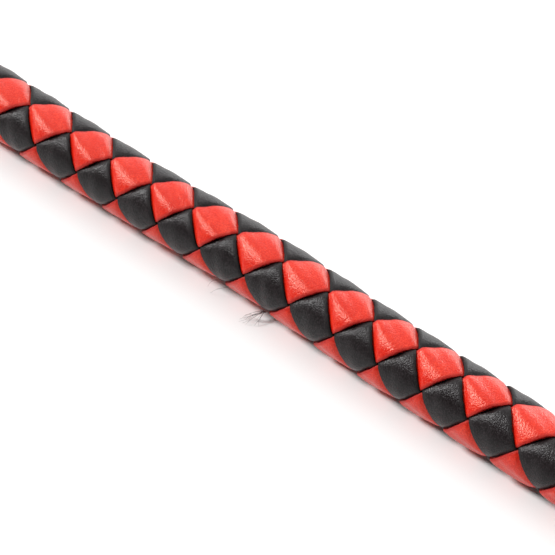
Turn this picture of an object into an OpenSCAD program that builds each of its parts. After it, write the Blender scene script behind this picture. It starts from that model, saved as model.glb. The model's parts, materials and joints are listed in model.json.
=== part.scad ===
// Riding crop: a rod plaited over with three red and three black leather laces, a leather-wrapped
// handle with a wrist loop at the butt, and a folded leather tongue at the tip.
// It lies along X, butt at -X and tip at +X, with the surface it rests on at z = 0.
// Every station s below is a distance in mm along the axis from the butt's end face.

/* [Plait] */
// Outer radius of the plaited shaft
braid_r = 6; // [5:0.25:8]
// Thickness of one lace
lace_t = 0.8; // [0.6:0.05:0.9]
// Length of one visible lozenge along the shaft
lozenge_len = 9.39; // [8:0.01:12]
// Share of the surface that a lace's width covers
lace_cover = 0.88; // [0.8:0.01:0.92]
// Slow turn of the lozenge rows round the shaft, degrees per mm
row_turn = -0.1163; // [-0.2:0.0001:0.2]
// Where red lace 1 crosses black lace 1: its angle about the axis, from +Y towards +Z
braid_phase = 92.7; // [0:0.1:360]
// ... and its station
braid_datum = 388; // [300:1:450]

/* [Shaft] */
// Station where the plait starts, against the handle
braid_start = 168.5; // [150:0.5:200]
// Station where the plait ends, under the tip knot
braid_end = 585; // [500:0.5:600]
// Radius of the fibreglass rod
rod_r = 2.5; // [2:0.1:3]
// Station where the rod starts, inside the handle
rod_start = 24; // [23:1:40]
// Station where the rod ends, between the tongue's tails
rod_end = 602; // [595:1:603]

/* [Handle] */
// Radius of the wooden handle core
core_r = 7.5; // [7:0.1:9]
// Thickness of the leather strip wound on the handle
wrap_t = 1; // [0.8:0.1:1.4]
// Station where the handle core starts to taper
taper_start = 154; // [140:1:160]
// Radius of the handle core at its front face
core_front_r = 6.3; // [6.2:0.1:7]
// Length of the slot that holds the strap's ends
slot_depth = 18; // [15:1:19]
// Thickness of the leather disc on the butt
disc_t = 2; // [1.5:0.1:2.5]

/* [Knots] */
// Outer radius of the knots on the butt and on the tip, which the crop rests on
rest_knot_r = 10.6; // [10:0.1:12]
// Outer radius of the knot on the handle's front end
handle_knot_r = 10.3; // [9.8:0.1:10.6]
// Width of each knot
knot_w = 12; // [10:0.5:12.5]

/* [Wrist loop] */
// Width of the strap
strap_w = 10; // [8:0.5:12]
// Thickness of the strap
strap_t = 1.8; // [1.5:0.1:2]
// Length of the two legs that run side by side
leg_len = 46; // [44:1:60]
// Radius of the loop's round end, to the middle of the strap
loop_r = 30; // [25:1:36]
// Distance from the pivot to the loop's far end
loop_len = 136; // [125:1:150]
// Length of the sliding keeper
slider_len = 9; // [7:0.5:12]
// Distance from the pivot to the middle of the keeper
slider_at = 24; // [22:1:28]

/* [Tongue] */
// Thickness of the tongue's leather
tongue_t = 1.5; // [1.2:0.1:1.8]
// Width of the tongue at its end
tongue_w = 28; // [24:1:32]
// Width of the tongue where it flexes
tongue_root_w = 13; // [11:1:15]
// Station of the line where the tongue flexes
flex_at = 619; // [618:1:622]
// Length of the tongue beyond that line
tongue_len = 72; // [65:1:85]

/* [Hidden] */

$fn = 64;
fit_gap = 0.03;        // between pieces that are glued, bound or pressed together
play = 0.3;            // between pieces that move past each other
axis_z = rest_knot_r;  // the crop rests on its butt and tip knots
far = 200;             // longer than anything it cuts

// The strap's two legs lie face to face, and pivot just clear of the butt's end face.
leg_gap = 0.3;
legs_half_t = strap_t + leg_gap / 2;
pivot_s = -(legs_half_t + play);
// The loop tips down from the butt until its far end touches the surface.
loop_droop = asin((axis_z - strap_w / 2) / loop_len);
loop_end_s = pivot_s - loop_len * cos(loop_droop) - strap_w / 2 * sin(loop_droop);

half_slit = 0.1;
flap_half_t = tongue_t + half_slit;   // two layers, with a slit between them
flap_end_s = flex_at + tongue_len;
x_shift = (flap_end_s + loop_end_s) / 2;

handle_front = braid_start - 0.5;
wrap_r = core_r + wrap_t;
tight_wrap_r = wrap_r - 0.2;
laces = 3;                      // laces of each colour
half_cover = lace_cover / 2;    // half a lace's width, where neighbours are 1 apart
layer_step = lace_t + 0.05;     // between a lace and the one that it crosses
inner_r = braid_r - layer_step - lace_t;
flat_sag = cos(half_cover * 90 / laces);    // the laces' flats cut inside their corners
bolster_r = inner_r * flat_sag - fit_gap;
tail_w = 7;
binding_start = braid_end + 1;
binding_end = 604;

// ---------- places ----------

// Puts a shape made along +Z on the crop's axis, starting at station s.
module on_axis(s) translate([s - x_shift, 0, axis_z]) rotate([0, 90, 0]) children();

// Puts a shape made round the strap's pivot, in its own plane, where the loop lies.
module in_loop() translate([pivot_s - x_shift, 0, axis_z]) rotate([0, -loop_droop, 0]) children();

module tube(s, length, r_out, r_in) on_axis(s) difference() {
    cylinder(r = r_out, h = length);
    translate([0, 0, -1]) cylinder(r = r_in, h = length + 2);
}

// ---------- plait ----------

// The plait is laid out in lace numbers. Red laces keep u whole and run along v, and black
// laces keep v whole and run along u. A step of 1 in either is half a lozenge along the shaft.
function lace_point(u, v, r) =
    let (along = (u - v) * lozenge_len / 2,
         angle = braid_phase + (u + v) * 180 / laces + row_turn * along)
    [braid_datum - x_shift + along, r * cos(angle), axis_z + r * sin(angle)];

// Red lies on top where the lace numbers add up to an even number.
function outer_r(k, i, red) =
    let (even = (k + i) % 2 == 0) (even == red) ? braid_r : braid_r - layer_step;

// One ring of a lace's section, at a place along it: three points outside, three inside.
function lace_ring(k, along, r, red) = [
    for (layer = [0, 1], across = layer == 0 ? [-1, 0, 1] : [1, 0, -1])
        let (c = k + across * half_cover, at = r - layer * lace_t)
        red ? lace_point(c, along, at) : lace_point(along, c, at)
];

// A crossing gives three rings: where it starts, its middle and where it ends.
function lace_points(k, first, last, red) = [
    for (i = [first:last], part = [-1, 0, 1])
        each lace_ring(k, i + part * half_cover, outer_r(k, i, red), red)
];

// Two triangles for each side of the section between ring j and the next. The outer and inner
// faces fold along the shaft, so that a lace lies flat on the one that it crosses.
function ring_faces(j) = [
    for (m = [0:5])
        let (n = (m + 1) % 6, a = 6 * j + m, b = 6 * j + n, c = a + 6, d = b + 6)
        each (m < 3 ? [[a, b, c], [b, d, c]] : [[a, b, d], [a, d, c]])
];

function turned(face, red) = red ? face : [face[2], face[1], face[0]];

module lace(number, red) {
    k = number - 1;
    // The crossings whose middle lies between the plait's two ends, past half a lozenge.
    step = lozenge_len / 2;
    low = (braid_start - braid_datum + step) / step;
    high = (braid_end - braid_datum - step) / step;
    first = red ? ceil(k - high) : ceil(k + low);
    last = red ? floor(k - low) : floor(k + high);
    rings = 3 * (last - first + 1);
    faces = [for (j = [0:rings - 2]) each ring_faces(j)];
    caps = [for (base = [0, 6 * (rings - 1)]) each [for (m = [1:4])
        base == 0 ? [base, base + m + 1, base + m] : [base, base + m, base + m + 1]]];
    color(red ? "red" : "#2a2a2c")
        polyhedron(points = lace_points(k, first, last, red),
                   faces = [for (f = concat(faces, caps)) turned(f, red)]);
}

// ---------- shaft ----------

module core_rod() color("ivory") on_axis(rod_start) cylinder(r = rod_r, h = rod_end - rod_start);

module bolster() color("tan")
    tube(braid_start, braid_end - braid_start, bolster_r, rod_r + fit_gap);

// Waxed thread bound round the plait's ends. It shows just past the knots that cover it.
whipping_r = braid_r + 1.3;
whipping_shows = 1;
knot_lap = 2;   // how far the front knot reaches back over the handle
start_whipping_len = handle_front - knot_lap + knot_w + whipping_shows - braid_start;
tip_whipping_len = knot_w + whipping_shows;
module start_whipping() color("black")
    tube(braid_start, start_whipping_len, whipping_r, braid_r + fit_gap);
module tip_whipping() color("black")
    tube(braid_end - tip_whipping_len, tip_whipping_len, whipping_r, braid_r + fit_gap);

// ---------- handle ----------

// The handle's outline, as thick as the core plus an extra radius.
module handle_outline(from, extra) polygon([
    [0, from], [core_r + extra, from], [core_r + extra, taper_start],
    [core_front_r + extra, handle_front], [0, handle_front]
]);

module handle_core() color("burlywood") difference() {
    on_axis(0) rotate_extrude() handle_outline(disc_t + fit_gap, 0);
    on_axis(rod_start - 1) cylinder(r = rod_r + fit_gap, h = far);
    strap_slot();
    pin_hole(fit_gap);
}

// The strip is drawn in a little where the butt knot covers its end.
wrap_start = disc_t + 0.5;   // clear of the disc
knot_end = disc_t / 2 + knot_w;
module handle_wrap() color("#202020") on_axis(0) rotate_extrude() difference() {
    handle_outline(wrap_start, wrap_t);
    handle_outline(0, fit_gap);
    translate([0, taper_start]) square([core_front_r + fit_gap, far]);
    translate([tight_wrap_r, 0]) square([wrap_t, knot_end]);
}

module strap_slot() translate([-x_shift, 0, axis_z])
    cube([2 * slot_depth, 2 * (legs_half_t + fit_gap), strap_w + 2 * fit_gap], center = true);

// The pin crosses the handle core and the strap's ends, from side to side.
pin_s = 11;
pin_r = 1.25;
pin_short = 0.6;    // how far each end stops short of the core's surface
module pin_hole(gap) translate([pin_s - x_shift, 0, axis_z]) rotate([90, 0, 0])
    cylinder(r = pin_r + gap, h = 2 * core_r + 2, center = true);

module loop_pin() color("silver") translate([pin_s - x_shift, 0, axis_z]) rotate([90, 0, 0])
    cylinder(r = pin_r, h = 2 * (core_r - pin_short), center = true);

module butt_disc() color("#202020") difference() {
    on_axis(0) cylinder(r = wrap_r - 0.4, h = disc_t);
    strap_slot();
}

// ---------- knots ----------

// A plaited ring knot's outer shape: flat inside and crowned outside.
module ring_knot(s, r_in, r_out) on_axis(s) rotate_extrude() polygon([
    for (a = [0:15:180]) [r_in + (r_out - r_in) * pow(sin(a), 0.7), knot_w / 2 * (1 - cos(a))]
]);

front_wrap_r = wrap_r - (core_r - core_front_r)
    * (handle_front - knot_lap - taper_start) / (handle_front - taper_start);

module butt_knot() color("red")
    ring_knot(disc_t / 2, tight_wrap_r + fit_gap, rest_knot_r);
module handle_knot() color("red")
    ring_knot(handle_front - knot_lap, front_wrap_r + fit_gap, handle_knot_r);
module tip_knot() color("red")
    ring_knot(braid_end - knot_w, whipping_r + fit_gap, rest_knot_r);

// ---------- wrist loop ----------

// The loop runs towards -X: two straight legs, an arc that flares each out, and the round end.
round_x = -(loop_len - loop_r - strap_t / 2);
leg_y = legs_half_t - strap_t / 2;
flare_x = -leg_len;
// The flare's radius makes it tangent to the leg and to the round end.
flare_span = flare_x - round_x;
flare_r = (flare_span * flare_span + leg_y * leg_y - loop_r * loop_r) / (2 * (leg_y + loop_r));
flare_c = [flare_x, leg_y + flare_r];
flare_angle = atan2(flare_span, flare_c[1]);

// One leg and half of the loop, in the loop's plane, moved out by d from the strap's middle.
function half_edge(d) = concat(
    [[legs_half_t, leg_y + d], [flare_x, leg_y + d]],
    [for (k = [1:12]) let (a = flare_angle * k / 12)
        [flare_c[0] - (flare_r - d) * sin(a), flare_c[1] - (flare_r - d) * cos(a)]],
    [for (k = [1:24]) let (a = flare_angle + (180 - flare_angle) * k / 24)
        [round_x + (loop_r + d) * cos(a), (loop_r + d) * sin(a)]]
);

function reversed(points) = [for (k = [len(points) - 1:-1:0]) points[k]];
function mirrored(points) = [for (p = reversed(points)) [p[0], -p[1]]];

module loop_outline(d) polygon(concat(half_edge(d), mirrored(half_edge(d))));

module wrist_loop() color("#202020") in_loop() intersection() {
    translate([0, 0, -strap_w / 2]) linear_extrude(strap_w) difference() {
        loop_outline(strap_t / 2);
        loop_outline(-strap_t / 2);
    }
    // The legs end in a round nose about the pivot, so that they can swing past the butt.
    union() {
        cylinder(r = legs_half_t, h = strap_w + 2, center = true);
        translate([-far, -far / 2, -far / 2]) cube([far, far, far]);
    }
}

// The strap's two ends inside the handle.
tab_len = slot_depth - 1;
module loop_tabs() color("#202020") difference() {
    for (side = [-1, 1])
        translate([tab_len / 2 - x_shift, side * leg_y, axis_z])
            cube([tab_len, strap_t, strap_w], center = true);
    pin_hole(fit_gap);
}

slider_t = 1.4;
slide_play = 0.2;
module loop_slider() color("#202020") in_loop() translate([-slider_at, 0, 0]) difference() {
    slider_y = legs_half_t + slide_play;
    slider_z = strap_w / 2 + slide_play;
    cube([slider_len, 2 * (slider_y + slider_t), 2 * (slider_z + slider_t)], center = true);
    cube([slider_len + 2, 2 * slider_y, 2 * slider_z], center = true);
}

// ---------- tongue ----------

// Height of the tongue's middle above the surface: from the axis down to lying flat.
drop_len = 48;
function flap_z(d) = let (low = flap_half_t, t = min(1, max(0, d / drop_len)))
    low + (axis_z - low) * (1 + cos(180 * t)) / 2;
function flap_slope(d) = d <= 0 || d >= drop_len ? 0
    : atan(-(axis_z - flap_half_t) * sin(180 * d / drop_len) * PI / (2 * drop_len));

// Points along the tongue from its root to a length, moved out from its middle line by h.
flap_steps = 28;
flap_straight = tongue_len - flap_half_t;
function flap_side(h, to) = [
    for (k = [0:flap_steps]) let (d = to * k / flap_steps, a = flap_slope(d))
        [d - h * sin(a), flap_z(d) + h * cos(a)]
];

module flap_section() difference() {
    polygon(concat(
        flap_side(flap_half_t, flap_straight),
        [for (a = [75:-15:-75]) [flap_straight + flap_half_t * cos(a), flap_half_t * (1 + sin(a))]],
        reversed(flap_side(-flap_half_t, flap_straight)),
        [for (a = [-105:-15:-255]) [flap_half_t * cos(a), axis_z + flap_half_t * sin(a)]]
    ));
    // The slit between the strip's two layers, closed by the fold at the far end.
    slit_end = flap_straight - 1;
    polygon(concat(
        [[-far, axis_z + half_slit]], flap_side(half_slit, slit_end),
        reversed(flap_side(-half_slit, slit_end)), [[-far, axis_z - half_slit]]
    ));
}

// The tongue seen from above: a narrow root, widening to a broad end with round corners.
corner_r = 7;
widen_len = 34;     // how far the tongue goes on widening
function flap_half_w(d) = let (t = min(1, max(0, d / widen_len)))
    tongue_root_w / 2 + (tongue_w - tongue_root_w) / 2 * t * t * (3 - 2 * t);
function flap_edge() = concat(
    [[-far, tongue_root_w / 2]],
    [for (d = [0:2:widen_len]) [d, flap_half_w(d)]],
    [for (a = [90:-10:0])
        [tongue_len - corner_r * (1 - cos(a)), tongue_w / 2 - corner_r * (1 - sin(a))]]
);

module tongue_flap() color("#202020") translate([flex_at - x_shift, 0, 0]) intersection() {
    rotate([90, 0, 0]) linear_extrude(2 * tongue_w, center = true) flap_section();
    linear_extrude(2 * axis_z) polygon(concat(flap_edge(), mirrored(flap_edge())));
}

// One stitch, lying along the tongue's face: d along it, y across, on the top or the bottom.
stitch_r = 0.4;
stitch_pitch = 4;
stitch_space = 1.1;     // between one stitch and the next
stitch_sunk = 0.1;      // how far its middle lies below the face, on top
stitch_clear = 0.02;    // between it and the face that the tongue rests on
module stitch(d, y, turn, top) {
    h = top ? flap_half_t - stitch_sunk : -flap_half_t + stitch_r + stitch_clear;
    a = flap_slope(d);
    translate([d - h * sin(a), y, flap_z(d) + h * cos(a)])
        rotate([0, -a, turn]) rotate([0, 90, 0])
            cylinder(r = stitch_r, h = stitch_pitch - stitch_space, center = true);
}

// Stitches along both sides and across the end.
stitch_in = 3;          // in from the tongue's edge
first_stitch = 6;       // from the line where the tongue flexes
side_stitches = 15;
end_stitches = 5;
module tongue_stitches() color("red") translate([flex_at - x_shift, 0, 0])
    for (top = [true, false]) {
        for (side = [-1, 1], n = [0:side_stitches - 1]) {
            d = first_stitch + n * stitch_pitch;
            rise = atan((flap_half_w(d + 1) - flap_half_w(d - 1)) / 2);
            stitch(d, side * (flap_half_w(d) - stitch_in), side * rise, top);
        }
        for (n = [1:end_stitches])
            stitch(tongue_len - stitch_in - 2, (n - (end_stitches + 1) / 2) * stitch_pitch, 90, top);
    }

// The strip's two tails, which straddle the rod and come together ahead of it.
tail_in = rod_r + fit_gap;
tail_start = binding_start + 1;
tail_bend = rod_end + 0.5;                      // where the tails start to come together
tails_meet = flex_at - 3;
neck_end = flex_at - flap_half_t - play;        // clear of the tongue's round root
module neck_side() polygon([
    [tail_start, tail_in], [tail_bend, tail_in], [tails_meet, half_slit],
    [neck_end, half_slit], [neck_end, flap_half_t], [tails_meet, flap_half_t],
    [tail_bend, tail_in + tongue_t], [tail_start, tail_in + tongue_t]
]);
module neck_plan() polygon([
    for (side = [1, -1]) each (side > 0
        ? [[binding_start, tail_w / 2], [rod_end, tail_w / 2], [flex_at, tongue_root_w / 2]]
        : [[flex_at, -tongue_root_w / 2], [rod_end, -tail_w / 2], [binding_start, -tail_w / 2]])
]);
module tongue_neck() color("#202020") translate([-x_shift, 0, axis_z])
    for (side = [0, 1]) mirror([0, 0, side]) intersection() {
        rotate([90, 0, 0]) linear_extrude(2 * tongue_root_w, center = true) neck_side();
        linear_extrude(2 * core_r) neck_plan();
    }

// Waxed thread wound over the tails, tapering from the plait down to the tongue.
binding_in = sqrt(pow(tail_in + tongue_t, 2) + pow(tail_w / 2, 2)) + fit_gap;
binding_front_t = 0.7;
module tongue_binding() color("black") on_axis(binding_start) difference() {
    cylinder(r1 = whipping_r, r2 = binding_in + binding_front_t,
             h = binding_end - binding_start);
    translate([0, 0, -1]) cylinder(r = binding_in, h = far);
}

core_rod();
bolster();
lace(1, true);  // red_lace_1
lace(2, true);  // red_lace_2
lace(3, true);  // red_lace_3
lace(1, false);  // black_lace_1
lace(2, false);  // black_lace_2
lace(3, false);  // black_lace_3
start_whipping();
tip_whipping();
handle_core();
handle_wrap();
butt_disc();
butt_knot();
handle_knot();
tip_knot();
loop_tabs();
loop_pin();
wrist_loop();
loop_slider();
tongue_neck();
tongue_binding();
tongue_flap();
tongue_stitches();
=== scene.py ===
"""The looks of the riding crop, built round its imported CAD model.

The crop lies along X, with its butt and wrist loop at -X, its tongue at +X, and the floor at z = 0.
"""

import json
import math

import bpy
import numpy as np
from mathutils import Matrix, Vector


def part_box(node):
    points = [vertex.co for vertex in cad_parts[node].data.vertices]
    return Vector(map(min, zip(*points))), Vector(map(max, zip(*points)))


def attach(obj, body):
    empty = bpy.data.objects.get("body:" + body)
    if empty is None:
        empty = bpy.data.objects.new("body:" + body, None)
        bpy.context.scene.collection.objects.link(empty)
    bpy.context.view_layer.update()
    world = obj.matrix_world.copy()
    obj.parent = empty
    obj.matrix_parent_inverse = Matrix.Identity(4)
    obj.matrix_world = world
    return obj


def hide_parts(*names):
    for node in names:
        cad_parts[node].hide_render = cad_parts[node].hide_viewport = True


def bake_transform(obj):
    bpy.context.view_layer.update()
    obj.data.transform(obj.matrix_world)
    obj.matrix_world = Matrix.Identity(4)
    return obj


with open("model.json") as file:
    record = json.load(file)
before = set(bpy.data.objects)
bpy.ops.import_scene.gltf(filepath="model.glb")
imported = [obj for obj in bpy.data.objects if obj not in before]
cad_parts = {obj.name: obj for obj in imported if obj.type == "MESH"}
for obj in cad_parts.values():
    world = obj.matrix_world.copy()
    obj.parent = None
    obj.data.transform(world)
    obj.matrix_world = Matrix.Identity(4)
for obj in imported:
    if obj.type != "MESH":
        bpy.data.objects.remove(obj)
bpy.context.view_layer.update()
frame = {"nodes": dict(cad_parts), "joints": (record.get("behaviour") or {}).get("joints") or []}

MM = 0.001

# ---------- places, from the frame ----------

JOINTS = {joint["name"]: joint for joint in frame["joints"]}
AXIS_Z = sum(corner.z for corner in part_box("core_rod")) / 2
BUTT_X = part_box("butt_disc")[0].x
WRAP_START, WRAP_END = (corner.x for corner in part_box("handle_wrap"))
WRAP_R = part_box("handle_wrap")[1].y
PLAIT_START, PLAIT_END = (corner.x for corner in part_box("bolster"))
BEDDED = 0.965                          # the laces bed down a little
PLAIT_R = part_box("black_lace_1")[1].y * BEDDED
WHIPPING_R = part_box("tip_whipping")[1].y
FLEX_X = JOINTS["tongue_flex"]["pos_m"][0]
PIVOT_X = JOINTS["loop_swing"]["pos_m"][0]

# ---------- the plait's pattern, the same as the CAD model's ----------

LOZENGE_LEN = 9.39 * MM
LACES = 3                               # of each colour
LACE_T = 0.66 * MM
LAYER_STEP = 0.78 * MM                  # between a lace and the one that it crosses
PHASE = math.radians(93.5)
ROW_TURN = math.radians(-0.1163) / MM   # per metre
DATUM_X = PLAIT_END - 197 * MM          # where red lace 1 crosses black lace 1
MIDDLE_X = DATUM_X - 10.82 * MM         # the middle of the stretch that the camera sees

# Hand plaiting wanders: its steps, its turn and its line each swing slowly along the shaft.
WANDER_LEN = 56.6 * MM
WANDER_START = math.radians(70)                  # where its swing is at DATUM_X
STEP_WANDER, STEP_LAG = 0.43 * MM, math.radians(36)
TURN_WANDER, TURN_LEAD = 0.047, math.radians(68)
WANDER_FADE = 25 * MM                            # it dies away near the plait's ends

# It also bulges to one side where it was pulled tighter, and is stouter beyond that than before it.
BULGE, BULGE_LEN = 0.62 * MM, 19 * MM
BULGE_SIDE = np.array([0.825, 0.565])            # along Y and Z
GIRTH_CHANGE, GIRTH_LEN, GIRTH_FADE = 0.033, 20 * MM, 100 * MM


# ---------- mesh helpers ----------

def ease(t):
    """0 to 1 smoothly as t goes from 0 to 1."""
    t = np.clip(t, 0, 1)
    return t * t * (3 - 2 * t)


def hump(x, width):
    """1 at x = 0, falling away on both sides."""
    return np.exp(-(x / width) ** 2)


def chance(*numbers):
    """An irregular value from 0 to 1, the same on each run for the same numbers."""
    mixed = sum(np.asarray(n) * weight for n, weight in zip(numbers, (12.9898, 78.233, 37.719)))
    return np.modf(np.abs(np.sin(mixed)) * 43758.5453)[0]


def ripple(x, y, seed):
    """A smooth irregular value from about -1 to 1, the same on each run."""
    rng = np.random.default_rng(seed)
    total = 0
    for octave in range(5):
        fx, fy = rng.normal(0, 1.4 + octave, 2)
        total = total + np.sin(fx * x + fy * y + rng.uniform(0, 2 * math.pi)) / (1 + 0.5 * octave)
    return total / 2.6


def skin(name, rings, material, ends_joined=False, edge=None):
    """A closed mesh over a stack of closed rings, an array of [ring, point, xyz].

    Open ends are capped. edge, if given, says from 0 to 1 how far each point's colour goes towards
    its leather's edge colour: the cut edge's own colour, and on a lace's top face along its rim also
    painted shade.
    """
    count, size = rings.shape[:2]
    points = rings.reshape(-1, 3)
    i = np.arange(count if ends_joined else count - 1)[:, None]
    j = np.arange(size)[None, :]
    i_next, j_next = (i + 1) % count, (j + 1) % size
    quads = np.stack(
        [i * size + j, i * size + j_next, i_next * size + j_next, i_next * size + j], -1
    ).reshape(-1, 4)
    faces = quads.tolist()
    if not ends_joined:
        faces.append(list(range(size))[::-1])
        faces.append(list(range((count - 1) * size, count * size)))
    mesh = bpy.data.meshes.new(name)
    mesh.from_pydata(points.tolist(), [], faces)

    # A map in metres: along the stack, and round each ring.
    along = np.linalg.norm(np.diff(rings.mean(1), axis=0), axis=1)
    along = np.concatenate([[0], np.cumsum(along)])
    round_it = np.linalg.norm(np.diff(rings, axis=1), axis=2).max(0)
    round_it = np.concatenate([[0], np.cumsum(round_it)])
    uv = np.stack(np.broadcast_arrays(along[:, None], round_it[None, :]), -1).reshape(-1, 2)
    corners = np.zeros(len(mesh.loops), int)
    mesh.loops.foreach_get("vertex_index", corners)
    layer = mesh.uv_layers.new(name="cut")
    layer.data.foreach_set("uv", uv[corners].ravel())
    if edge is None:
        edge = np.zeros(rings.shape[:2])
    attribute = mesh.attributes.new("edge", "FLOAT", "POINT")
    attribute.data.foreach_set("value", edge.ravel().astype(np.float32))
    mesh.polygons.foreach_set("use_smooth", [True] * len(mesh.polygons))
    mesh.set_sharp_from_angle(angle=math.radians(50))
    mesh.materials.append(material)
    piece = bpy.data.objects.new(name, mesh)
    bpy.context.scene.collection.objects.link(piece)
    if signed_volume(points, quads) < 0:
        mesh.flip_normals()
    return piece


def signed_volume(points, quads):
    """Six times the volume inside, and below 0 if the faces point inward."""
    a, b, c, d = (points[quads[:, n]] for n in range(4))
    return (np.cross(a, b) * c).sum() + (np.cross(a, c) * d).sum()


def joined(name, pieces):
    """Makes one piece of several."""
    with bpy.context.temp_override(active_object=pieces[0], selected_editable_objects=pieces):
        bpy.ops.object.join()
    pieces[0].name = name
    pieces[0].data.name = name
    return pieces[0]


def strip_section(half_w, thick, columns, bevel, shoulder):
    """A flat strip's closed outline: across it, and depth below its top. Top first, then bottom.

    bevel and shoulder are how far in and how far down its top corners are cut.
    """
    top = np.linspace(-(half_w - bevel), half_w - bevel, columns)
    across = [-half_w, *top, half_w, half_w, half_w - bevel, 0, -(half_w - bevel), -half_w]
    depth = [shoulder, *([0] * columns), shoulder,
             thick - shoulder, thick, thick, thick, thick - shoulder]
    return np.array(across), np.array(depth)


def unit(v):
    """Each vector, made 1 long."""
    return v / np.linalg.norm(v, axis=-1, keepdims=True)


def round_ring(size):
    """Points round a circle of radius 1."""
    turn = np.arange(size) * 2 * math.pi / size
    return np.cos(turn), np.sin(turn)


def tube(name, path, radius, material, size=8, aside=(0, 0, 1)):
    """A round thread along a path. radius is one number, or one for each point."""
    tangent = unit(np.gradient(path, axis=0))
    side = unit(np.cross(tangent, np.broadcast_to(np.array(aside, float), path.shape)))
    other = np.cross(tangent, side)
    c, s = round_ring(size)
    radius = np.broadcast_to(radius, len(path))[:, None, None]
    ring = side[:, None] * c[None, :, None] + other[:, None] * s[None, :, None]
    return skin(name, path[:, None] + ring * radius, material)


def round_axis(x, angle, radius):
    """Points at a place along the crop's axis, an angle round it and a distance from it."""
    x, angle, radius = np.broadcast_arrays(x, angle, radius)
    return np.stack([x, radius * np.cos(angle), AXIS_Z + radius * np.sin(angle)], -1)


def finish_piece(piece, body, slot, *nodes):
    """Fixes a piece to its body, in place of these CAD nodes."""
    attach(piece, body)
    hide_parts(*nodes)
    return piece


# ---------- materials ----------

class Nodes:
    """A few words for building a material."""

    def __init__(self, name):
        self.material = bpy.data.materials.new(name)
        self.material.use_nodes = True
        self.tree = self.material.node_tree
        self.shader = self.tree.nodes["Principled BSDF"]

    def add(self, kind, inputs=(), **settings):
        """A new node. Each of its inputs is a value or another node's output."""
        node = self.tree.nodes.new(kind)
        for key, value in settings.items():
            setattr(node, key, value)
        for key, value in dict(inputs).items():
            self.set(node.inputs[key], value)
        return node

    def set(self, socket, value):
        if isinstance(value, bpy.types.NodeSocket):
            self.tree.links.new(value, socket)
        else:
            socket.default_value = value

    def cut(self):
        """Where a point is on its piece's own map, in metres."""
        return self.add("ShaderNodeUVMap", uv_map="cut").outputs[0]

    def place(self):
        """Where a point is on the crop, in metres."""
        return self.add("ShaderNodeTexCoord").outputs["Object"]

    def math(self, operation, a, b):
        return self.add("ShaderNodeMath", {0: a, 1: b}, operation=operation).outputs[0]

    def weighed(self, *terms):
        """The sum of each value times its weight."""
        total = None
        for value, weight in terms:
            scaled = self.math("MULTIPLY", value, weight)
            total = scaled if total is None else self.math("ADD", total, scaled)
        return total

    def scaled(self, where, size, stretch=(1, 1, 1)):
        """Makes this size in metres, times stretch, the pattern's own step."""
        inputs = {"Vector": where, "Scale": Vector(stretch) / size}
        return self.add("ShaderNodeMapping", inputs).outputs[0]

    def noise(self, where, size, detail, stretch=(1, 1, 1)):
        """Noise with lumps of about this size in metres."""
        inputs = {"Vector": self.scaled(where, size, stretch), "Scale": 1.0, "Detail": detail,
                  "Roughness": 0.55}
        return self.add("ShaderNodeTexNoise", inputs).outputs["Fac"]

    def pebbles(self, where, size, stretch=(1, 1, 1)):
        """Low in the middle of each pebble, and high between them."""
        inputs = {"Vector": self.scaled(where, size, stretch), "Scale": 1.0, "Smoothness": 0.25}
        return self.add("ShaderNodeTexVoronoi", inputs, feature="SMOOTH_F1").outputs["Distance"]

    def waves(self, where, size, distortion):
        """Bands across X, this far apart in metres."""
        inputs = {"Vector": self.scaled(where, size), "Scale": 1 / (2 * math.pi),
                  "Distortion": distortion, "Detail": 2.0}
        return self.add("ShaderNodeTexWave", inputs, bands_direction="X").outputs["Fac"]

    def ramp(self, value, *stops):
        """A colour that changes with value. Each stop is a value and a colour."""
        node = self.add("ShaderNodeValToRGB", {"Fac": value})
        elements = node.color_ramp.elements
        while len(elements) < len(stops):
            elements.new(0.5)
        for element, (position, colour) in zip(elements, stops):
            element.position = position
            element.color = (*colour, 1)
        return node.outputs["Color"]

    def mix(self, amount, a, b):
        """Colour a where amount is 0, and b where it is 1."""
        node = self.add("ShaderNodeMix", data_type="RGBA")
        for socket, value in zip((node.inputs[0], node.inputs[6], node.inputs[7]), (amount, a, b)):
            self.set(socket, (*value, 1) if isinstance(value, tuple) else value)
        return node.outputs[2]

    def spread(self, value, low, high):
        """Maps 0..1 to low..high."""
        node = self.add("ShaderNodeMapRange", {"Value": value, "To Min": low, "To Max": high})
        return node.outputs[0]

    def bump(self, height, depth):
        """A bump whose height of 1 stands for this depth in metres."""
        inputs = {"Height": height, "Distance": depth, "Strength": 1.0}
        return self.add("ShaderNodeBump", inputs).outputs[0]

    def finish(self, colour, rough, normal, specular=0.5):
        """Wires up the shader."""
        self.set(self.shader.inputs["Base Color"], colour)
        self.set(self.shader.inputs["Roughness"], rough)
        self.set(self.shader.inputs["Normal"], normal)
        self.shader.inputs["Specular IOR Level"].default_value = specular
        return self.material


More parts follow.
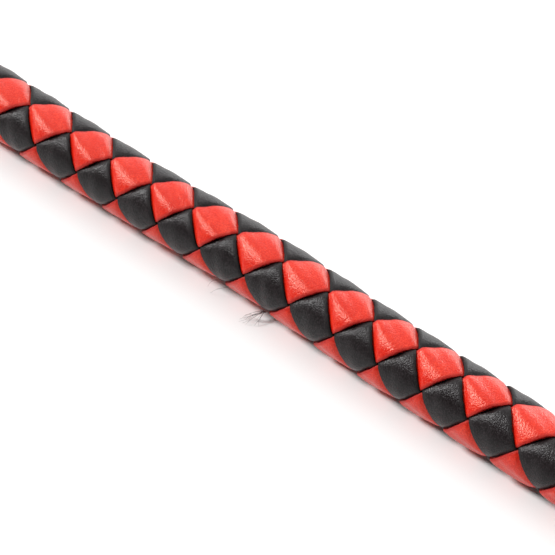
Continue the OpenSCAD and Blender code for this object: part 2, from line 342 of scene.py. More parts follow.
def leather(name, dark, plain, light, cut_edge_and_shade_colour, grain, rough, depth, specular=0.5,
            gloss_tint=(1, 1, 1)):
    """Pebble-grained leather, with its raw colour where it is cut and painted shade along a lace's
    top rim, both where the edge attribute says. grain is a pebble's size.
    """
    n = Nodes(name)
    where = n.cut()
    blotches = n.noise(n.place(), 3.2 * MM, 4)
    fine = n.noise(where, 0.5 * grain, 2)
    pebble = n.pebbles(where, grain)
    creases = n.noise(where, 1.1 * MM, 3, stretch=(0.35, 1.6, 1))
    raised = n.spread(pebble, 1.0, 0.0)
    colour = n.ramp(n.weighed((blotches, 0.3), (fine, 0.3), (raised, 0.4)),
                    (0.38, dark), (0.54, plain), (0.72, light))
    edge = n.add("ShaderNodeAttribute", attribute_name="edge").outputs["Fac"]
    # The edge attribute darkens the colour towards the edge colour: the cut edge's own colour, and
    # painted shade on a lace's top face along its rim.
    colour = n.mix(n.math("MULTIPLY", edge, 0.85), colour, cut_edge_and_shade_colour)
    roughness = n.spread(n.weighed((fine, 0.6), (blotches, 0.4)), rough - 0.13, rough + 0.13)
    roughness = n.math("ADD", roughness, n.math("MULTIPLY", edge, 0.3))
    height = n.weighed((raised, 1.0), (fine, 0.4), (creases, 0.15))
    n.shader.inputs["Specular Tint"].default_value = (*gloss_tint, 1)
    return n.finish(colour, roughness, n.bump(height, depth), specular)


def thread(name, dark, plain, light):
    """Waxed thread: fine strands that twist round it."""
    n = Nodes(name)
    where = n.cut()
    slanted = n.add("ShaderNodeMapping", {"Vector": where, "Rotation": (0, 0, 0.7)}).outputs[0]
    strands = n.waves(slanted, 0.32 * MM, 1.5)
    fibres = n.noise(where, 0.12 * MM, 3, stretch=(0.3, 1.5, 1))
    colour = n.ramp(n.weighed((strands, 0.6), (fibres, 0.4)),
                    (0.2, dark), (0.5, plain), (0.8, light))
    height = n.weighed((strands, 1.0), (fibres, 0.5))
    return n.finish(colour, n.spread(fibres, 0.4, 0.65), n.bump(height, 0.06 * MM))


def wood():
    """Oiled beech: grain along the crop, with short flecks."""
    n = Nodes("beech")
    where = n.place()
    grain = n.noise(where, 1.2 * MM, 4, stretch=(0.05, 1, 1))
    flecks = n.pebbles(where, 1.6 * MM, stretch=(0.3, 1, 1))
    colour = n.ramp(n.weighed((grain, 0.8), (flecks, 0.3)), (0.3, (0.36, 0.2, 0.09)),
                    (0.5, (0.52, 0.33, 0.17)), (0.75, (0.64, 0.45, 0.27)))
    return n.finish(colour, n.spread(grain, 0.5, 0.75), n.bump(grain, 0.08 * MM))


def fibreglass():
    """Pale glass strands that run along the rod."""
    n = Nodes("fibreglass")
    where = n.place()
    strands = n.noise(where, 0.35 * MM, 3, stretch=(0.02, 1, 1))
    colour = n.ramp(strands, (0.3, (0.58, 0.54, 0.38)), (0.7, (0.8, 0.77, 0.62)))
    return n.finish(colour, n.spread(strands, 0.25, 0.45), n.bump(strands, 0.03 * MM))


def steel():
    """Drawn steel, with fine lines along the pin."""
    n = Nodes("pin_steel")
    where = n.place()
    brushed = n.noise(where, 0.15 * MM, 3, stretch=(1, 0.05, 1))
    colour = n.ramp(brushed, (0.3, (0.5, 0.5, 0.5)), (0.7, (0.68, 0.68, 0.69)))
    n.shader.inputs["Metallic"].default_value = 1
    return n.finish(colour, n.spread(brushed, 0.22, 0.4), n.bump(brushed, 0.01 * MM))


def bolster_leather():
    """Rough dark leather, nap outward."""
    n = Nodes("bolster_leather")
    where = n.place()
    nap = n.noise(where, 0.3 * MM, 4)
    blotches = n.noise(where, 4 * MM, 3)
    colour = n.ramp(n.weighed((nap, 0.5), (blotches, 0.5)), (0.35, (0.02, 0.013, 0.009)),
                    (0.65, (0.05, 0.03, 0.018)))
    return n.finish(colour, n.spread(nap, 0.75, 0.95), n.bump(nap, 0.1 * MM))


def make_materials():
    """Every material, by name. The colours go from a leather's hollows to its high places."""
    lace_grain, lace_depth = 0.22 * MM, 0.05 * MM
    return {
        "red": leather("red_leather", (0.55, 0.006, 0.001), (0.63, 0.013, 0.003),
                       (0.80, 0.050, 0.016), (0.34, 0.001, 0.002), lace_grain, 0.30, lace_depth,
                       gloss_tint=(1.0, 0.78, 0.64)),
        "black": leather("black_leather", (0.005, 0.003, 0.003), (0.009, 0.005, 0.006),
                         (0.034, 0.028, 0.029), (0.006, 0.004, 0.004), lace_grain, 0.33,
                         lace_depth, specular=0.24),
        "strap": leather("strap_leather", (0.008, 0.008, 0.008), (0.014, 0.014, 0.014),
                         (0.022, 0.022, 0.021), (0.010, 0.009, 0.008), 0.45 * MM, 0.45, 0.06 * MM),
        "thread": thread("black_thread", (0.008, 0.008, 0.008), (0.02, 0.019, 0.018),
                         (0.045, 0.043, 0.04)),
        "stitching": thread("red_thread", (0.35, 0.008, 0.005), (0.6, 0.02, 0.012),
                            (0.75, 0.05, 0.03)),
        "wood": wood(),
        "fibreglass": fibreglass(),
        "steel": steel(),
        "bolster": bolster_leather(),
    }


def dress(node, material):
    """Gives a CAD node a better material."""
    thing = frame["nodes"][node]
    if not thing.data.materials:
        thing.data.materials.append(material)
    for slot in thing.material_slots:
        slot.link = "OBJECT"
        slot.material = material


# ---------- the plait ----------

def on_plait(u, v, radius):
    """The point where lace numbers u and v meet, at this distance from the axis."""
    along = (u - v) * LOZENGE_LEN / 2
    x = DATUM_X + along
    angle = PHASE + (u + v) * math.pi / LACES + ROW_TURN * along
    swing = (x - DATUM_X) * 2 * math.pi / WANDER_LEN + WANDER_START
    amount = ease((x - PLAIT_START) / WANDER_FADE) * ease((PLAIT_END - x) / WANDER_FADE)
    x = x + amount * STEP_WANDER * np.sin(swing - STEP_LAG)
    angle = angle - amount * TURN_WANDER * np.sin(swing + TURN_LEAD)
    onward = x - MIDDLE_X
    bulge = BULGE * hump(onward, BULGE_LEN)
    angle = angle + bulge / PLAIT_R
    radius = radius * (1 + GIRTH_CHANGE * np.tanh(onward / GIRTH_LEN) * hump(onward, GIRTH_FADE))
    aside = bulge[..., None] * BULGE_SIDE
    return round_axis(x, angle, radius) + np.concatenate([0 * aside[..., :1], aside], -1)


def red_relief(t, c, roll):
    """A red lace's folds where it lies on top: a ridge that fans out, and a valley beside it.

    t and c run from -0.5 to 0.5, along it and across it, and roll is its own chance from 0 to 1.
    """
    from_ridge = t - (0.13 + 0.1 * roll - 0.5 * c)
    ridge_width = 0.11 + 0.09 * (c + 0.5)
    valley_back, valley_width = 0.28, 0.13
    ridge = 0.20 * hump(from_ridge, ridge_width)
    valley = 0.13 * hump(from_ridge + valley_back, valley_width)
    return (ridge - valley) * (0.75 + 0.5 * roll) * MM


def black_relief(t, c, roll):
    """A black lace's softer folds where it lies on top."""
    from_ridge = c - (-0.12 - 0.12 * roll + 0.3 * (t + 0.4))
    ridge_width = 0.17
    valley_on, valley_width = 0.28, 0.13
    ridge = 0.08 * hump(from_ridge, ridge_width)
    valley = 0.08 * hump(from_ridge - valley_on, valley_width)
    return (ridge - valley) * (0.5 + roll) * MM


def lace_top(k, along, across, red):
    """How far a lace's top face is from the axis, at a place along it and across it."""
    over = k + (0 if red else 1)
    nearest = over + 2 * np.round((along - over) / 2)     # the nearest crossing where it is on top
    t = along - nearest
    parity = np.cos(math.pi * t)                          # 1 on top, -1 underneath
    firm = 3.6                                            # how steeply it dives
    late = 0.12 * np.cos(math.pi * np.clip(across, -0.5, 0.5)) ** 2
    level = (np.tanh(firm * (parity - late)) + 1) / 2     # 1 on top, 0 underneath
    relief = (red_relief if red else black_relief)(t, across, chance(k, nearest, red))
    bedded = 0.10 * MM * level
    edge_droop = 0.10 * MM * np.abs(across / 0.5) ** 3
    crown = 0.10 * MM * (1 - (2 * t) ** 2) * (parity > 0)
    top = PLAIT_R - LAYER_STEP * (1 - level) - bedded
    return top - edge_droop + crown + relief * ease(parity * 3)


def lace(number, red, material):
    """One lace, from end to end of the plait. Across it, 1 is the distance between neighbours."""
    k = number - 1
    half_len = LOZENGE_LEN / 2
    low = (PLAIT_START - DATUM_X) / half_len
    high = (PLAIT_END - DATUM_X) / half_len
    first, last = (k - high, k - low) if red else (k + low, k + high)
    steps_per_crossing = 32
    along = np.linspace(first, last, int((last - first) * steps_per_crossing))
    across, depth = strip_section(0.475, 1, 17, 0.03, 0.16)
    depth = depth * LACE_T
    rim = np.abs(across) > 0.44
    wavy = 0.016 * ripple(along * 9, 0, 3 * number + red)
    toothed = 0.022 * (chance(np.arange(len(along)), number, red) - 0.5)
    ragged = (wavy + toothed)[:, None] * rim
    a = np.broadcast_to(along[:, None], (len(along), len(across)))
    c = across[None, :] * (1 + ragged)
    radius = lace_top(k, a, c, red) - depth[None, :]
    u, v = (k + c, a) if red else (a, k + c)
    rings = on_plait(u, v, radius)
    # Sides and underside take the cut edge's colour; the top face's outermost column goes 0.8 of the
    # way to it, a painted shade outline along the lace's rim.
    edge = np.broadcast_to(np.where(depth > 0.1 * LACE_T, 1, 0.8 * rim), a.shape)
    colour = "red" if red else "black"
    piece = skin(f"{colour}_lace_{number}_plaited", rings, material, edge=edge)
    return finish_piece(piece, "crop", f"{colour}_leather", f"{colour}_lace_{number}")


def make_loose_fibres(material):
    """A tuft of fine fibres that has worked loose under a black lace, and a few strays."""
    tuft, strays = 15, [-3.0, -5.5]
    places = [5.1 + 0.9 * (chance(n, 1) - 0.5) for n in range(tuft)] + strays
    root_y, root_z = -0.60 * PLAIT_R, AXIS_Z - PLAIT_R + 1.4 * MM
    fall = 1.3 * MM
    t = np.linspace(0, 1, 30)[:, None]
    thickness = 0.021 * MM * (1.3 - 0.7 * t[:, 0])
    fibres = []
    for n, place in enumerate(places):
        reach = (1.2 + 2.4 * chance(n, 2)) * MM
        drift = (-3.0 + 3.6 * chance(n, 3)) * MM
        start = np.array([MIDDLE_X + place * MM, root_y, root_z])
        over = np.array([0.2 * drift, -0.55 * reach, (chance(n, 5) - 0.2) * 1.2 * MM])
        end = start + np.array([drift, -reach, -fall])
        path = (1 - t) ** 2 * start + 2 * t * (1 - t) * (start + over) + t ** 2 * end
        curl = 0.22 * MM * np.sin(t * (2.5 + 2.5 * chance(n, 4)) + n) * t
        path = path + curl * [1, 0.5, 0]
        fibres.append(tube("fibre", path, thickness, material, 5, (1, 0, 0)))
    piece = joined("loose_fibres", fibres)
    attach(piece, "crop")


# ---------- thread windings ----------

def winding(name, start, end, radius_at, thread_r, material, *nodes):
    """Thread wound from start to end. radius_at gives its outer radius at places along it."""
    packed, steps_per_turn = 0.97, 56
    pitch = 2 * thread_r * packed
    turns = (end - start - 2 * thread_r) / pitch
    steps = int(turns * steps_per_turn)
    turn = np.linspace(0, turns, steps)
    x = start + thread_r + turn * pitch
    wobble = 0.08 * thread_r * ripple(turn * 5.3, 0, steps)
    path = round_axis(x + wobble, turn * 2 * math.pi, radius_at(x) - thread_r + 0.5 * wobble)
    piece = tube(name, path, thread_r, material, 8, (1, 0, 0))
    return finish_piece(piece, "crop", "thread", *nodes)


def make_windings(material):
    """The plait's two whippings, each stepping down where it shows, and the tongue's binding."""
    whipping_thread, binding_thread = 0.25 * MM, 0.4 * MM     # radii
    step, step_len = 0.9 * MM, 1 * MM
    under_knot = WRAP_END + 6 * MM
    whipping_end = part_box("start_whipping")[1].x
    winding("start_whipping_thread", under_knot, whipping_end,
            lambda x: WHIPPING_R - step * ease((x - whipping_end + step_len) / step_len),
            whipping_thread, material, "start_whipping")
    tip_start, tip_end = (corner.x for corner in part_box("tip_whipping"))
    winding("tip_whipping_thread", tip_start, tip_end,
            lambda x: WHIPPING_R - step * ease((tip_start + step_len - x) / step_len),
            whipping_thread, material, "tip_whipping")
    start, end = (corner.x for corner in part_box("tongue_binding"))
    end_r = 6.1 * MM
    winding("tongue_binding_thread", start - binding_thread * 2, end,
            lambda x: WHIPPING_R + (end_r - WHIPPING_R) * np.clip((x - start) / (end - start), 0, 1),
            binding_thread, material, "tongue_binding")


# ---------- the handle ----------

def make_handle_wrap(material):
    """One strip wound from the butt to the handle's front, each turn lapping the last."""
    pitch = 9 * MM
    lap = 1.6 * MM
    half_w = (pitch + lap) / 2
    thick = 0.8 * MM
    taper, taper_len = 1.2 * MM, 14 * MM
    first, last = WRAP_START + half_w, WRAP_END + 1.8 * MM
    turns, steps_per_turn = 1 + (last - first) / pitch, 72
    turn = np.linspace(0, turns, int(turns * steps_per_turn))[:, None]
    across, depth = strip_section(1, 1, 9, 0.06, 0.3)
    onward = np.clip(turn - 1, 0, None)      # the first turn goes straight round, under the knot
    x = first + onward * pitch + across[None, :] * half_w
    tapered = taper * np.clip((x - WRAP_END + taper_len) / taper_len, 0, 1.3)
    shows = ease((x - WRAP_START - 9 * MM) / (5 * MM)) * ease((WRAP_END - 2 * MM - x) / (4 * MM))
    lapped = 0.5 * MM * ease((across[None, :] + 1) / 0.8 - 0.1) * (0.25 + 0.75 * shows)
    puff = 0.12 * MM * (1 - across[None, :] ** 2)
    sunk = 0.6 * MM * (1 - ease(turn - 0.5))     # the first turn lies under the second
    radius = WRAP_R + 0.1 * MM - tapered - lapped - depth[None, :] * thick + puff - sunk
    radius = radius + 0.03 * MM * ripple(turn * 7, across[None, :] * 2, 5)
    rings = round_axis(x, turn * 2 * math.pi + 0 * x, radius)
    edge = np.broadcast_to(depth > 0.2, x.shape).astype(float)
    piece = skin("handle_wrap_strip", rings, material, edge=edge)
    return finish_piece(piece, "crop", "black_leather", "handle_wrap")


def turks_head(name, node, material):
    """A ring knot plaited from one lace, over one and under one all the way round."""
    leads, bights = 5, 8
    low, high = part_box(node)
    middle, half_w = (low.x + high.x) / 2, (high.x - low.x) / 2
    r_out = high.y
    r_in = inner_radius(node)
    thick = 1.0 * MM
    lace_w = 2.95 * MM
    droop = 0.35 * MM                # of its edges
    firm = 1.6                       # how steeply it dives
    steps = 1700
    s = np.arange(steps) * 2 * math.pi / steps
    reach = half_w - lace_w * 0.55
    x = -reach * np.cos(bights * s)
    sigma = bights * s / math.pi
    p = leads * (sigma - np.floor(sigma))     # crossings since the last turn at the knot's side
    p = np.where(p < 1, p + leads, p)
    weave = np.where(p <= leads - 1, np.cos(math.pi * (p - 1)),
                     -np.cos(math.pi * (p - (leads - 1)) / 2))
    level = np.tanh(firm * weave) / math.tanh(firm)

    across, depth = strip_section(0.5, 1, 9, 0.1, 0.28)
    mean_r = (r_in + r_out) / 2
    slope = np.arctan2(reach * bights * np.sin(bights * s), mean_r * leads)
    c = across[None, :] * lace_w
    at_x = x[:, None] + c * np.cos(slope)[:, None]
    at_angle = (leads * s)[:, None] - c * np.sin(slope)[:, None] / mean_r
    crown = 1 - np.abs(at_x / half_w) ** 2.6
    room = (r_out - r_in - thick) * np.clip(crown, 0, 1)
    top = r_in + thick + room * (0.5 + 0.5 * level[:, None])
    top = top - droop * (2 * np.abs(across[None, :])) ** 3
    radius = top - depth[None, :] * thick
    rings = round_axis(middle + at_x, at_angle, radius)
    edge = np.broadcast_to(depth > 0.2, at_x.shape).astype(float)
    piece = skin(name, rings, material, ends_joined=True, edge=edge)
    return finish_piece(piece, "crop", "red_leather", node)


def inner_radius(node):
    """The radius of the hole through a ring-shaped CAD node."""
    points = np.array([v.co for v in frame["nodes"][node].data.vertices])
    return np.hypot(points[:, 1], points[:, 2] - AXIS_Z).min()


def make_butt_disc(material):
    """The CAD disc and its slot, with its sharp edges rubbed round."""
    dress("butt_disc", material)
    bevel = frame["nodes"]["butt_disc"].modifiers.new("rubbed", "BEVEL")
    bevel.width = 0.35 * MM
    bevel.segments = 3
    bevel.limit_method = "ANGLE"
    bevel.angle_limit = math.radians(40)


# ---------- the wrist loop ----------

STRAP_W = 10 * MM
STRAP_T = 1.8 * MM
LEG_Y = 1.05 * MM           # from the middle to the middle of either leg
LEG_LEN = 46 * MM
LOOP_R = 30 * MM
LOOP_LEN = 136 * MM
TAB_LEN = 17 * MM           # inside the handle
DROOP = math.asin((AXIS_Z - STRAP_W / 2) / LOOP_LEN)


def loop_half():
    """The middle line of one leg and half of the loop, in the loop's plane, from the pivot."""
    round_x = -(LOOP_LEN - LOOP_R - STRAP_T / 2)
    span = -LEG_LEN - round_x
    flare_r = (span ** 2 + LEG_Y ** 2 - LOOP_R ** 2) / (2 * (LEG_Y + LOOP_R))
    flare_y = LEG_Y + flare_r
    flare_angle = math.atan2(span, flare_y)
    inside = BUTT_X + TAB_LEN - PIVOT_X
    leg_x = np.linspace(inside, -LEG_LEN, 90)[:-1]
    leg = np.stack([leg_x, 0 * leg_x + LEG_Y], -1)
    a = np.linspace(0, flare_angle, 24)[:-1]
    flare = np.stack([-LEG_LEN - flare_r * np.sin(a), flare_y - flare_r * np.cos(a)], -1)
    a = np.linspace(flare_angle, math.pi, 60)
    end = np.stack([round_x + LOOP_R * np.cos(a), LOOP_R * np.sin(a)], -1)
    return np.concatenate([leg, flare, end])


def strap_outline():
    """Half the strap's closed section: up its width, and out from its middle."""
    half_w, half_t = STRAP_W / 2, STRAP_T / 2
    crease = half_w - 1.3 * MM
    up = np.array([half_w, half_w - 0.12 * MM, half_w - 0.45 * MM, crease + 0.25 * MM, crease,
                   crease - 0.25 * MM, crease - 0.8 * MM, 0.5 * crease, 0])
    out = half_t - np.array([0.6, 0.22, 0.05, 0.03, 0.17, 0.02, 0, 0, 0]) * MM
    up = np.concatenate([up, -up[-2::-1]])
    out = np.concatenate([out, out[-2::-1]])
    return np.concatenate([up, up[::-1]]), np.concatenate([out, -out[::-1]])


def make_wrist_strap(material):
    """One strap: out of the handle, round the loop and back in."""
    half = loop_half()
    flat = np.concatenate([half, (half * [1, -1])[-2::-1]])
    beyond = np.clip(-flat[:, 0], 0, None)
    path = np.stack([PIVOT_X + flat[:, 0] + beyond * (1 - math.cos(DROOP)), flat[:, 1],
                     AXIS_Z - beyond * math.sin(DROOP)], -1)
    tangent = unit(np.gradient(flat, axis=0))
    outward = np.stack([tangent[:, 1], -tangent[:, 0]], -1)
    tilt = DROOP * ease(beyond / (6 * MM))
    c, s = np.cos(tilt), np.sin(tilt)
    width = np.stack([-s, 0 * tilt, c], -1)
    normal = np.stack([outward[:, 0] * c, outward[:, 1], outward[:, 0] * s], -1)
    up, out = strap_outline()
    in_loop_share = ease((beyond - LEG_LEN) / (20 * MM))
    sway = 0.25 * MM * ripple(np.arange(len(flat)) * 0.05, 0, 11) * in_loop_share
    rings = (path[:, None] + width[:, None] * up[None, :, None]
             + normal[:, None] * (out[None, :, None] + sway[:, None, None]))
    edge = np.broadcast_to(np.abs(up) > STRAP_W / 2 - 0.3 * MM, rings.shape[:2]).astype(float)
    piece = skin("wrist_strap", rings, material, edge=edge)
    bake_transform(piece)
    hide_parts("wrist_loop", "loop_tabs")
    return piece


def in_loop(x, y, z):
    """Points in the loop's own plane, at rest, from its pivot."""
    x, y, z = np.broadcast_arrays(x, y, z)
    c, s = math.cos(DROOP), math.sin(DROOP)
    return np.stack([PIVOT_X + x * c - z * s, y, AXIS_Z + x * s + z * c], -1)


def rounded_box_ring(half_y, half_z, corner, steps):
    """Points round a rectangle with round corners, from the middle of its +Y side, with normals."""
    points, normals = [], []
    for quarter, (sy, sz) in enumerate(((1, 1), (-1, 1), (-1, -1), (1, -1))):
        for a in np.linspace(quarter * 90, quarter * 90 + 90, steps):
            turn = math.radians(a)
            normal = (math.cos(turn), math.sin(turn))
            points.append((sy * (half_y - corner) + corner * normal[0],
                           sz * (half_z - corner) + corner * normal[1]))
            normals.append(normal)
    return np.array(points), np.array(normals)


def make_keeper(material, thread_material):
    """A leather band round the strap's two legs, stitched where its ends meet."""
    low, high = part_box("loop_slider")
    at = -math.hypot((low.x + high.x) / 2 - PIVOT_X, (low.z + high.z) / 2 - AXIS_Z)
    half_len = 4.4 * MM
    wall = 1.3 * MM
    half_y, half_z = 2.25 * MM, 5.25 * MM     # inside
    line, normal = rounded_box_ring(half_y, half_z, 0.7 * MM, 9)
    line, normal = densified(line, normal, 0.6 * MM)
    across, depth = strip_section(1, 1, 11, 0.08, 0.3)
    crown = 0.12 * MM * (1 - across ** 2)
    groove = 0.12 * MM * hump(np.abs(across) - 0.78, 0.05)
    out = wall * (1 - depth) + (crown - groove) * (depth < 0.5)
    y = line[:, None, 0] + normal[:, None, 0] * out[None]
    z = line[:, None, 1] + normal[:, None, 1] * out[None]
    rings = in_loop(at + across[None, :] * half_len, y, z)
    edge = np.broadcast_to(depth > 0.2, y.shape).astype(float)
    piece = skin("keeper_band", rings, material, ends_joined=True, edge=edge)
    finish_piece(piece, "slider", "black_leather", "loop_slider")

    seam_y, pitch = half_y + wall + 0.1 * MM, 1.7 * MM
    across_strap = in_loop(0, 0, 1) - in_loop(0, 0, 0)
    stitches = [one_stitch(in_loop(at + n * pitch, side * seam_y, 0), across_strap, (0, side, 0),
                           2.2 * MM, 0.28 * MM, thread_material)
                for side in (-1, 1) for n in range(-2, 3)]
    piece = joined("keeper_stitches", stitches)
    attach(piece, "slider")


def densified(line, normal, step):
    """The closed line with more points, evenly placed along it."""
    closed = np.concatenate([line, line[:1]])
    closed_normal = np.concatenate([normal, normal[:1]])
    length = np.concatenate([[0], np.cumsum(np.linalg.norm(np.diff(closed, axis=0), axis=1))])
    nothing = 1e-9
    keep = np.concatenate([[True], np.diff(length) > nothing])
    length, closed, closed_normal = length[keep], closed[keep], closed_normal[keep]
    extra = np.arange(0, length[-1], step)
    at = np.unique(np.round(np.concatenate([length[:-1], extra]), 8))
    at = at[np.concatenate([[True], np.diff(at) > 0.05 * MM])]
    pick = [np.stack([np.interp(at, length, column) for column in table.T], -1)
            for table in (closed, closed_normal)]
    return pick[0], unit(pick[1])


def one_stitch(centre, along, out, length, radius, material):
    """One stitch, whose two ends dip into the leather."""
    t = np.linspace(-1, 1, 13)[:, None]
    along, out = unit(np.array(along)), unit(np.array(out, float))
    dip = radius * 1.5 * np.abs(t) ** 4
    path = centre + along * t * length / 2 - out * dip
    thickness = radius * (1 - 0.45 * np.abs(t[:, 0]) ** 4)
    return tube("stitch", path, thickness, material, 8, np.cross(along, out))


# ---------- the tongue ----------

TONGUE_T = 1.5 * MM
TONGUE_HALF_T = TONGUE_T + 0.1 * MM     # two layers, with a slit between them
WIDENS_LEN = 34 * MM
TONGUE_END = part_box("tongue_flap")[1].x
TONGUE_LEN = TONGUE_END - FLEX_X
TONGUE_HALF_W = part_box("tongue_flap")[1].y
ROOT_HALF_W = 6.5 * MM
TAIL_HALF_W = 3.5 * MM
CORNER_R = 7 * MM
DROP_LEN = 48 * MM                      # it comes down to the surface over this length
STITCH_INSET = 3 * MM
ROD_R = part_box("core_rod")[1].y
ROD_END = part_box("core_rod")[1].x


def tongue_z(d):
    """Height of the tongue's middle, d beyond the line where it flexes."""
    fall = (1 + np.cos(math.pi * np.clip(d / DROP_LEN, 0, 1))) / 2
    return TONGUE_HALF_T + (AXIS_Z - TONGUE_HALF_T) * fall


def tongue_half_w(d):
    """Half the strip's width there: narrow tails, a widening tongue and rounded corners."""
    wide = ROOT_HALF_W + (TONGUE_HALF_W - ROOT_HALF_W) * ease(d / WIDENS_LEN)
    past_rod = np.clip(1 + d / (FLEX_X - ROD_END), 0, 1)
    tails = TAIL_HALF_W + (ROOT_HALF_W - TAIL_HALF_W) * past_rod
    into_corner = np.clip((d - (TONGUE_LEN - CORNER_R)) / CORNER_R, 0, 1)
    corner = CORNER_R * (1 - np.sqrt(1 - into_corner ** 2))
    return np.where(d < 0, tails, wide - corner)


def layer_offset(d):
    """How far the middle of either layer is from the tongue's middle."""
    apart = ROD_R + 0.03 * MM + TONGUE_T / 2
    together = TONGUE_HALF_T - TONGUE_T / 2
    bend, meet = ROD_END + 0.5 * MM - FLEX_X, -3 * MM
    return apart + (together - apart) * ease((d - bend) / (meet - bend))


def tongue_line():
    """The middle line of the tongue's strip, along X and Z.

    Gives its points, which way is outward at each, and how far each is beyond the line where the
    tongue flexes.
    """
    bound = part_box("tongue_neck")[0].x - FLEX_X
    straight = TONGUE_LEN - TONGUE_HALF_T
    d = np.concatenate([np.linspace(bound, 0, 46)[:-1], np.linspace(0, straight, 110)[:-1]])
    middle = np.stack([d, tongue_z(d)], -1)
    slope = unit(np.gradient(middle, axis=0))
    normal = np.stack([-slope[:, 1], slope[:, 0]], -1)
    turn = np.radians(np.linspace(90, -90, 19))
    fold_r = TONGUE_HALF_T - TONGUE_T / 2
    fold = np.stack([straight + fold_r * np.cos(turn), TONGUE_HALF_T + fold_r * np.sin(turn)], -1)
    fold_normal = np.stack([np.cos(turn), np.sin(turn)], -1)
    offset = layer_offset(d)[:, None]
    line = np.concatenate([middle + normal * offset, fold, (middle - normal * offset)[::-1]])
    outward = np.concatenate([normal, fold_normal, -normal[::-1]])
    fold_end = np.minimum(fold[:, 0] + (TONGUE_HALF_T - fold_r) * np.cos(turn), TONGUE_LEN - 1e-6)
    return line, outward, np.concatenate([d, fold_end, d[::-1]])


def tongue_section(from_flex, half_w):
    """Places across the strip, and how far each lies below its outer face. Outer face first."""
    inset = np.array([0, 0.1, 0.35, 0.8, 1.2, 1.4, 1.6, 2.0, 2.4, 2.8, 3.0, 3.2, 3.6, 4.2]) * MM
    shrink = np.clip(half_w / (7 * MM), 0, 1)[:, None]
    inner = half_w[:, None] - inset[-1] * shrink
    share = np.linspace(1, -1, 15)[1:-1]
    across = np.concatenate([half_w[:, None] - inset * shrink, inner * share,
                             (inset * shrink - half_w[:, None])[:, ::-1]], 1)
    rounded = np.array([0.42, 0.2, 0.06] + [0] * (len(inset) - 3)) * MM
    crease = 0.11 * MM * hump(inset - 1.4 * MM, 0.14 * MM)
    seam = 0.2 * MM * hump(inset - STITCH_INSET, 0.45 * MM)
    sunk = rounded + crease + seam
    sunk = np.concatenate([sunk, 0 * share, sunk[::-1]])
    broad = ease(from_flex / (10 * MM))[:, None]
    sunk = sunk - 0.06 * MM * broad * ripple(from_flex[:, None] / (9 * MM), across / (7 * MM), 21)
    under = TONGUE_T - np.array([0.42, 0.12, 0, 0, 0, 0.12, 0.42]) * MM
    under_share = np.array([-1, -0.97, -0.9, 0, 0.9, 0.97, 1])
    across = np.concatenate([across, half_w[:, None] * under_share], 1)
    sunk = np.concatenate([sunk, np.broadcast_to(under, (len(half_w), len(under)))], 1)
    return across, sunk


def make_tongue(material):
    """One strip: a tail under the binding, the top layer, the fold, the bottom layer, a tail."""
    line, outward, from_flex = tongue_line()
    half_w = tongue_half_w(from_flex)
    across, sunk = tongue_section(from_flex, half_w)
    out = TONGUE_T / 2 - sunk
    rings = np.stack([
        FLEX_X + line[:, None, 0] + outward[:, None, 0] * out, across,
        line[:, None, 1] + outward[:, None, 1] * out], -1)
    is_edge = np.abs(across) > half_w[:, None] - 0.25 * MM
    piece = skin("tongue_strip", rings, material, edge=is_edge.astype(float))
    across_flex(piece)
    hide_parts("tongue_flap", "tongue_neck")


def across_flex(piece):
    """Bakes the piece's transform into its mesh."""
    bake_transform(piece)


def make_tongue_stitches(material):
    """Stitches down both sides and across the end, on both faces."""
    pitch = 3 * MM
    length, thread_r = 0.8 * pitch, 0.3 * MM
    first, last = 5 * MM, TONGUE_LEN - 8.5 * MM
    count = round((last - first) / pitch)
    places = []
    for side in (-1, 1):
        for n in range(count + 1):
            d = first + (last - first) * n / count
            rise = (tongue_half_w(d + MM) - tongue_half_w(d - MM)) / (2 * MM)
            places.append((d, side * (tongue_half_w(d) - STITCH_INSET), 1, side * rise))
    for n in range(-3, 4):
        places.append((TONGUE_LEN - STITCH_INSET - 2 * MM, n * pitch, 0, 1))
    stitches = []
    for d, y, along_d, along_y in places:
        slope = (tongue_z(d + MM) - tongue_z(d - MM)) / (2 * MM)
        normal = unit(np.array([-slope, 0, 1]))
        for face, pressed_in in ((1, 0.12 * MM), (-1, 0.2 * MM)):
            lift = TONGUE_HALF_T - pressed_in
            centre = np.array([FLEX_X + d, y, tongue_z(d)]) + normal * face * lift
            along = np.array([along_d, along_y, slope * along_d])
            stitches.append(one_stitch(centre, along, normal * face, length, thread_r, material))
    piece = joined("tongue_thread", stitches)
    across_flex(piece)
    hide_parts("tongue_stitches")


# ---------- the setting ----------

def make_camera():
    """Looks down on the middle of the shaft from the side, close, through a long lens."""
    camera = bpy.data.objects.new("camera", bpy.data.cameras.new("camera"))
    bpy.context.scene.collection.objects.link(camera)
    camera.data.sensor_width = 36
    camera.data.lens = 209.4
    camera.data.clip_start = 0.01
    middle = Vector((MIDDLE_X, 0, AXIS_Z))
    camera.location = middle + Vector((235.5, -267.4, 392.1)) * MM
    looks_along = Vector((-0.43766, 0.50724, -0.74240))     # nearly at the middle
    camera.rotation_mode = "QUATERNION"
    camera.rotation_quaternion = looks_along.to_track_quat("-Z", "Y")
    bpy.context.scene.camera = camera


def add_sun(toward, angle, strength):
    """One soft light from far off, in that direction. angle is how wide it looks, in degrees."""
    data = bpy.data.lights.new("sun", "SUN")
    data.angle = math.radians(angle)
    data.energy = strength
    lamp = bpy.data.objects.new("sun", data)
    bpy.context.scene.collection.objects.link(lamp)
    lamp.rotation_mode = "QUATERNION"
    lamp.rotation_quaternion = (-Vector(toward)).to_track_quat("-Z", "Y")


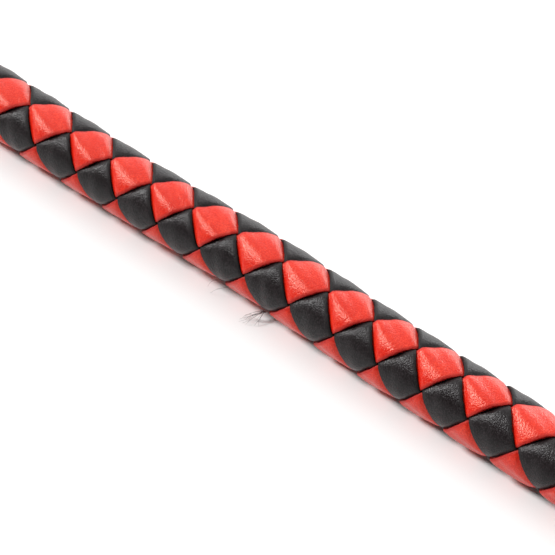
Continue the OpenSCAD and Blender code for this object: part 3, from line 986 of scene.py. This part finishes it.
def make_studio():
    """Soft light from all round: stronger from above and behind, and white low down."""
    world = bpy.data.worlds.new("studio")
    bpy.context.scene.world = world
    world.use_nodes = True
    tree = world.node_tree
    background = tree.nodes["Background"]
    background.inputs["Color"].default_value = (1, 1, 1, 1)
    direction = tree.nodes.new("ShaderNodeTexCoord").outputs["Generated"]
    strongest = tree.nodes.new("ShaderNodeMath")
    strongest.operation = "MAXIMUM"
    # Each is a direction, how much towards it the change starts and ends, and the two strengths.
    overhead = (Vector((-0.32, 0.85, 0.5)).normalized(), (0.0, 0.9), (0.08, 1.5))
    low_down = (Vector((0, 0, 1)), (0.06, 0.24), (1.0, 0.0))
    for socket, (toward, between, strengths) in zip(strongest.inputs, (overhead, low_down)):
        facing = tree.nodes.new("ShaderNodeVectorMath")
        facing.operation = "DOT_PRODUCT"
        facing.inputs[1].default_value = toward
        tree.links.new(direction, facing.inputs[0])
        strength = tree.nodes.new("ShaderNodeMapRange")
        strength.interpolation_type = "SMOOTHSTEP"
        strength.inputs["From Min"].default_value = between[0]
        strength.inputs["From Max"].default_value = between[1]
        strength.inputs["To Min"].default_value = strengths[0]
        strength.inputs["To Max"].default_value = strengths[1]
        tree.links.new(facing.outputs["Value"], strength.inputs["Value"])
        tree.links.new(strength.outputs[0], socket)
    tree.links.new(strongest.outputs[0], background.inputs["Strength"])


def make_floor():
    """Plain pale paper. It rises a little under the middle of the shaft, which lies on it there."""
    rise = AXIS_Z - PLAIT_R - 0.05 * MM
    raised, level = 70, 190       # raised as far out as this, and level again from here, in mm
    away = np.concatenate([[0, 60], np.linspace(raised, level, 25), [400, 6000]]) * MM
    line = np.concatenate([-away[:0:-1], away])
    lifted = 1 - ease((np.abs(line) - raised * MM) / ((level - raised) * MM))
    points = [(MIDDLE_X + x, y, rise * lift_x * lift_y)
              for x, lift_x in zip(line, lifted) for y, lift_y in zip(line, lifted)]
    size = len(line)
    faces = [(i * size + j, (i + 1) * size + j, (i + 1) * size + j + 1, i * size + j + 1)
             for i in range(size - 1) for j in range(size - 1)]
    mesh = bpy.data.meshes.new("floor")
    mesh.from_pydata(points, [], faces)
    mesh.polygons.foreach_set("use_smooth", [True] * len(faces))
    floor = bpy.data.objects.new("floor", mesh)
    bpy.context.scene.collection.objects.link(floor)
    n = Nodes("floor")
    n.shader.inputs["Base Color"].default_value = (0.86, 0.88, 0.875, 1)
    n.shader.inputs["Roughness"].default_value = 0.9
    mesh.materials.append(n.material)


# ---------- everything ----------

bpy.context.scene.view_settings.view_transform = "Standard"
make_camera()
make_studio()
add_sun((-0.72, -0.26, 0.64), 14, 3.6)     # the key light
add_sun((-0.2, 0.95, 0.22), 24, 0.9)       # a low one from behind, for the upper rim
make_floor()

materials = make_materials()
for number in range(1, LACES + 1):
    lace(number, True, materials["red"])
    lace(number, False, materials["black"])
make_loose_fibres(materials["thread"])
make_windings(materials["thread"])
make_handle_wrap(materials["strap"])
turks_head("butt_knot_lace", "butt_knot", materials["red"])
turks_head("handle_knot_lace", "handle_knot", materials["red"])
turks_head("tip_knot_lace", "tip_knot", materials["red"])
make_butt_disc(materials["strap"])
make_wrist_strap(materials["strap"])
make_keeper(materials["strap"], materials["stitching"])
make_tongue(materials["strap"])
make_tongue_stitches(materials["stitching"])
dress("core_rod", materials["fibreglass"])
dress("bolster", materials["bolster"])
dress("handle_core", materials["wood"])
dress("loop_pin", materials["steel"])
